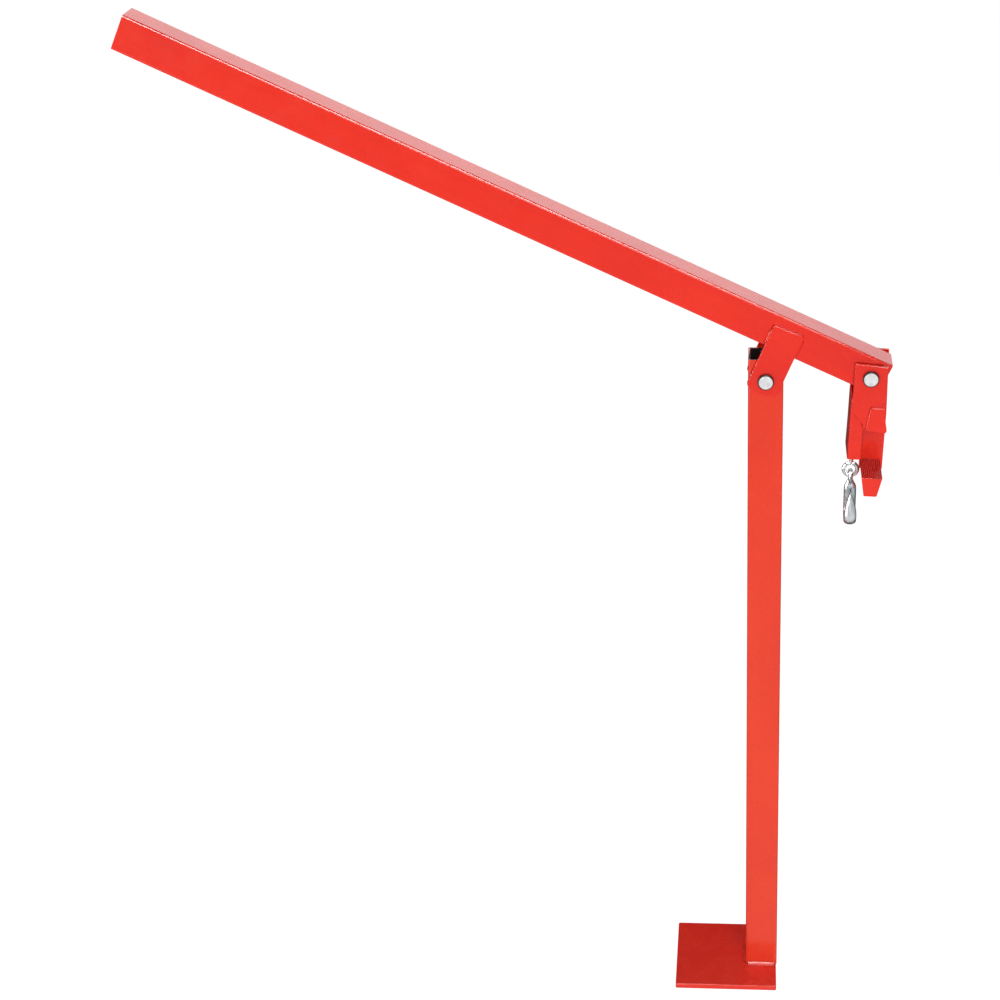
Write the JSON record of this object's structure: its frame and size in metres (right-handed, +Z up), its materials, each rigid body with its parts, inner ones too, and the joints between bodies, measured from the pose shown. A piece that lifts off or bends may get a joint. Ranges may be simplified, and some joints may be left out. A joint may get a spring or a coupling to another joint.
{
  "type": "fence post puller",
  "caption": "Manual lever fence post puller: square post on a foot plate, long pivoting lever, hanging gripping jaw and chain hook.",
  "frame": {"origin": "centre of the underside of the base plate", "axes": "+Z up along the post, +X from the lever's long arm towards the jaw, -Y towards the open front of the jaw"},
  "size_m": [0.8394, 0.127, 1.2314],
  "materials": {
    "red_paint": "gloss",
    "zinc": "satin"
  },
  "bodies": {
    "base": {"base_plate": "red_paint", "foot_weld": "red_paint", "post_tube": "red_paint"},
    "lever": {"lever_tube": "red_paint", "pivot_plate_front": "red_paint", "pivot_plate_rear": "red_paint", "pivot_weld": "red_paint", "pivot_pin": "zinc", "pivot_washer": "zinc", "pivot_split_pin": "zinc"},
    "jaw": {"jaw_cheek_front": "red_paint", "jaw_cheek_rear": "red_paint", "hook_tube": "red_paint", "hook_tube_floor": "red_paint", "upper_tooth": "red_paint", "grip_block": "red_paint", "jaw_weld": "red_paint", "jaw_pin": "zinc", "jaw_washer": "zinc", "jaw_split_pin": "zinc", "eye_bolt": "zinc", "eye_nut": "zinc"},
    "hook": {"chain_hook": "zinc"}
  },
  "joints": [
    {"name": "lever_pivot", "type": "hinge", "parent": "base", "child": "lever", "pos_m": [0.04465, 0, 0.8144], "axis": [0, -1, 0], "range_deg": [-8, 48]},
    {"name": "jaw_pivot", "type": "hinge", "parent": "lever", "child": "jaw", "pos_m": [0.16065, 0, 0.81841], "axis": [0, -1, 0], "range_deg": [-14, 40]},
    {"name": "hook_swing", "type": "hinge", "parent": "jaw", "child": "hook", "pos_m": [0.14222, 0, 0.68899], "axis": [1, 0, 0], "range_deg": [-35, 35]}
  ]
}
